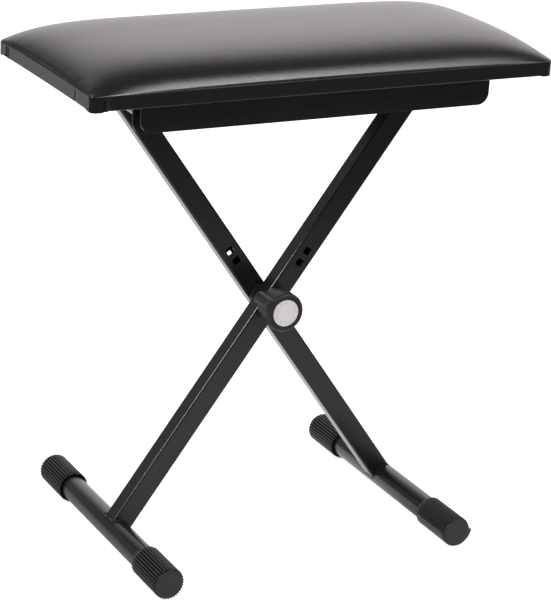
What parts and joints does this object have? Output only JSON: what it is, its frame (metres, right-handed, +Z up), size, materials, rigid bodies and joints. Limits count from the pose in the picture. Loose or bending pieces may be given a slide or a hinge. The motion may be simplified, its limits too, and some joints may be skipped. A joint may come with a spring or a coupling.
{
  "type": "folding keyboard bench",
  "caption": "Folding keyboard bench: padded vinyl seat on steel rails, crossed tube legs that close like scissors about a knob-locked pivot, and ribbed rubber foot caps.",
  "frame": {"origin": "on the floor, under the middle of the seat", "axes": "+X along the seat towards the hinged end, +Y to the rear, away from the hand knob, +Z up"},
  "size_m": [0.4796, 0.286, 0.5121],
  "materials": {
    "seat_vinyl": "smooth black vinyl, semi-gloss",
    "seat_foam": "open-cell foam",
    "seat_board": "raw plywood",
    "bottom_cloth": "black non-woven cloth",
    "black_paint": "satin black powder coat",
    "zinc_steel": "bright zinc plate",
    "nylon": "natural nylon",
    "foot_rubber": "matte black rubber",
    "knob_plastic": "semi-gloss black plastic",
    "lock_plastic": "black glass-filled nylon",
    "grey_plastic": "pale grey plastic disc",
    "brass": "machined brass"
  },
  "bodies": {
    "seat": {"seat_cover": "seat_vinyl", "seat_foam": "seat_foam", "seat_board": "seat_board", "bottom_cloth": "bottom_cloth", "front_rail": "black_paint", "rear_rail": "black_paint", "rail_screw_1": "zinc_steel", "rail_screw_2": "zinc_steel", "rail_screw_3": "zinc_steel", "rail_screw_4": "zinc_steel", "rail_screw_5": "zinc_steel", "rail_screw_6": "zinc_steel", "hinge_bar_bush_front": "nylon", "hinge_bar_bush_rear": "nylon"},
    "front_leg": {"front_leg_tube": "black_paint", "front_leg_foot_weld": "black_paint", "front_leg_bar_weld": "black_paint", "front_leg_lock_disc": "lock_plastic", "front_leg_sleeve": "zinc_steel", "hinge_bar": "black_paint", "hinge_bar_plug_front": "zinc_steel", "hinge_bar_plug_rear": "zinc_steel", "hinge_bar_washer_front": "zinc_steel", "hinge_bar_washer_rear": "zinc_steel", "hinge_bar_bolt_front": "zinc_steel", "hinge_bar_bolt_rear": "zinc_steel", "front_leg_foot_tube": "black_paint", "foot_cap_left_front": "foot_rubber", "foot_cap_left_rear": "foot_rubber"},
    "rear_leg": {"rear_leg_tube": "black_paint", "rear_leg_foot_weld": "black_paint", "rear_leg_bar_weld": "black_paint", "rear_leg_lock_disc": "lock_plastic", "rear_leg_sleeve": "zinc_steel", "slide_bar": "black_paint", "slide_bar_plug_front": "zinc_steel", "slide_bar_plug_rear": "zinc_steel", "slide_bar_bush_front": "nylon", "slide_bar_bush_rear": "nylon", "slide_bar_washer_front": "zinc_steel", "slide_bar_washer_rear": "zinc_steel", "slide_bar_bolt_front": "zinc_steel", "slide_bar_bolt_rear": "zinc_steel", "rear_leg_foot_tube": "black_paint", "foot_cap_right_rear": "foot_rubber", "pivot_bolt": "zinc_steel", "disc_spring": "zinc_steel"},
    "knob_washer": {"knob_washer": "zinc_steel"},
    "knob": {"knob_body": "knob_plastic", "knob_insert": "brass", "knob_disc": "grey_plastic"},
    "levelling_cap": {"levelling_cap": "foot_rubber"}
  },
  "joints": [
    {"name": "leg_fold", "type": "hinge", "parent": "seat", "child": "front_leg", "pos_m": [0.1537, 0, 0.452], "axis": [0, -1, 0], "range_deg": [0, 31.7]},
    {"name": "leg_cross", "type": "hinge", "parent": "front_leg", "child": "rear_leg", "pos_m": [-0.00211, 0, 0.23518], "axis": [0, 1, 0], "range_deg": [0, 63.41]},
    {"name": "knob_travel", "type": "slide", "parent": "rear_leg", "child": "knob_washer", "axis": [0, -1, 0], "range_m": [0, 0.00251]},
    {"name": "knob_turn", "type": "hinge", "parent": "knob_washer", "child": "knob", "pos_m": [-0.00211, 0, 0.23518], "axis": [0, -1, 0], "range_deg": [0, 720]},
    {"name": "levelling_cap_turn", "type": "hinge", "parent": "rear_leg", "child": "levelling_cap", "pos_m": [0.15563, -0.11, 0.01567], "axis": [0, 1, 0], "range_deg": [-90, 85]}
  ],
  "couplings": [
    {"joint": "leg_cross", "follows": "leg_fold", "ratio": 2},
    {"joint": "knob_travel", "follows": "knob_turn", "m_per_rad": 0.00019894}
  ]
}
